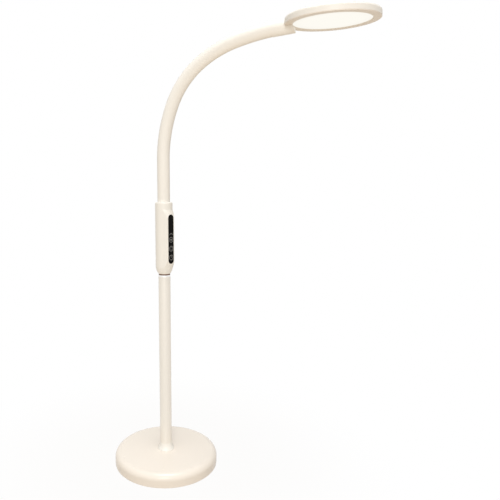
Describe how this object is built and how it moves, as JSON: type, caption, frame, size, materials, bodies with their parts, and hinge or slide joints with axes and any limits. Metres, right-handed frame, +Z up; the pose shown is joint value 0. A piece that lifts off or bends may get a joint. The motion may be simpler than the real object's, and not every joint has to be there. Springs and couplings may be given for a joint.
{
  "type": "gooseneck reading floor lamp",
  "caption": "Free-standing reading lamp: round weighted base, pole, touch column, flexible gooseneck and a flat round edge-lit head.",
  "frame": {"origin": "middle of the base's underside, on the floor", "axes": "+Z up along the pole; +X the way the gooseneck bends and the head hangs; the touch panel faces 25 degrees from +X towards -Y; the power inlet faces -X"},
  "size_m": [0.5751, 0.246, 1.0076],
  "materials": {
    "cream_paint": "satin",
    "cream_plastic": "satin",
    "cream_sleeve": "matte",
    "light_band": "satin",
    "dark_rubber": "matte",
    "pad_foam": "matte",
    "black_panel": "gloss",
    "grey_marks": "matte",
    "black_plastic": "matte",
    "cast_iron": "matte",
    "zinc_steel": "satin",
    "neck_steel": "satin",
    "brass": "satin",
    "spring_contact": "satin",
    "board_green": "satin",
    "cable_grey": "satin",
    "diffuser_glow": "satin",
    "clear_acrylic": "polished",
    "reflector_white": "satin",
    "led_flex": "satin",
    "raw_aluminium": "satin"
  },
  "bodies": {
    "stand": {"base_cover": "cream_plastic", "base_pad": "pad_foam", "base_bottom_plate": "zinc_steel", "base_screws": "zinc_steel", "base_weight": "cast_iron", "power_jack": "black_plastic", "threaded_pipe": "zinc_steel", "pipe_nut": "zinc_steel", "pipe_washer": "zinc_steel", "pole_collar": "cream_plastic", "pole_tube": "cream_paint", "pole_lower_insert": "raw_aluminium", "pole_upper_insert": "light_band", "joint_gasket": "dark_rubber", "joint_stud": "zinc_steel", "column_housing": "cream_plastic", "column_socket": "brass", "column_cap": "cream_plastic", "touch_panel": "black_panel", "touch_icons": "grey_marks", "touch_contacts": "spring_contact", "board_carrier": "black_plastic", "control_board": "board_green", "board_parts": "black_plastic", "board_screws": "zinc_steel", "supply_lead": "cable_grey", "neck_ferrule": "zinc_steel", "ferrule_nut": "zinc_steel", "neck_lead": "cable_grey", "neck_core_0": "neck_steel", "neck_sleeve_0": "cream_sleeve"},
    "neck_1": {"neck_core_1": "neck_steel", "neck_sleeve_1": "cream_sleeve"},
    "neck_2": {"neck_core_2": "neck_steel", "neck_sleeve_2": "cream_sleeve"},
    "neck_3": {"neck_core_3": "neck_steel", "neck_sleeve_3": "cream_sleeve"},
    "neck_4": {"neck_core_4": "neck_steel", "neck_sleeve_4": "cream_sleeve"},
    "neck_5": {"neck_core_5": "neck_steel", "neck_sleeve_5": "cream_sleeve"},
    "neck_6": {"neck_core_6": "neck_steel", "neck_sleeve_6": "cream_sleeve"},
    "neck_7": {"neck_core_7": "neck_steel", "neck_sleeve_7": "cream_sleeve"},
    "head": {"neck_core_8": "neck_steel", "neck_sleeve_8": "cream_sleeve", "head_stem": "cream_plastic", "head_ferrule": "zinc_steel", "head_housing": "cream_plastic", "head_bezel": "cream_plastic", "diffuser": "diffuser_glow", "light_guide": "clear_acrylic", "reflector_sheet": "reflector_white", "led_strip": "led_flex", "back_plate": "raw_aluminium", "head_screws": "zinc_steel", "head_lead": "cable_grey"}
  },
  "joints": [
    {"name": "neck_bend_1", "type": "hinge", "parent": "stand", "child": "neck_1", "pos_m": [0, 0, 0.66028], "axis": [0, 1, 0], "range_deg": [-25.8, 25.8], "deforming": ["neck_sleeve_0", "neck_lead"]},
    {"name": "neck_bend_2", "type": "hinge", "parent": "neck_1", "child": "neck_2", "pos_m": [0, 0, 0.72184], "axis": [0, 1, 0], "range_deg": [-30.6, 21], "deforming": ["neck_sleeve_1"]},
    {"name": "neck_swing_3", "type": "hinge", "parent": "neck_2", "child": "neck_3", "pos_m": [0.00521, 0, 0.7831], "axis": [0.9841, 0, -0.1777], "range_deg": [-25.8, 25.8], "deforming": ["neck_sleeve_2"]},
    {"name": "neck_bend_4", "type": "hinge", "parent": "neck_3", "child": "neck_4", "pos_m": [0.02177, 0, 0.84229], "axis": [0, 1, 0], "range_deg": [-39.7, 11.9], "deforming": ["neck_sleeve_3"]},
    {"name": "neck_bend_5", "type": "hinge", "parent": "neck_4", "child": "neck_5", "pos_m": [0.05199, 0, 0.89563], "axis": [0, 1, 0], "range_deg": [-44.1, 7.5], "deforming": ["neck_sleeve_4"]},
    {"name": "neck_swing_6", "type": "hinge", "parent": "neck_5", "child": "neck_6", "pos_m": [0.0974, 0, 0.93682], "axis": [0.5507, 0, -0.8347], "range_deg": [-25.8, 25.8], "deforming": ["neck_sleeve_5"]},
    {"name": "neck_bend_7", "type": "hinge", "parent": "neck_6", "child": "neck_7", "pos_m": [0.15257, 0, 0.96376], "axis": [0, 1, 0], "range_deg": [-38.1, 13.5], "deforming": ["neck_sleeve_6"]},
    {"name": "neck_bend_8", "type": "hinge", "parent": "neck_7", "child": "head", "pos_m": [0.2123, 0, 0.97846], "axis": [0, 1, 0], "range_deg": [-32.7, 18.9], "deforming": ["neck_sleeve_7", "neck_sleeve_8"]}
  ]
}
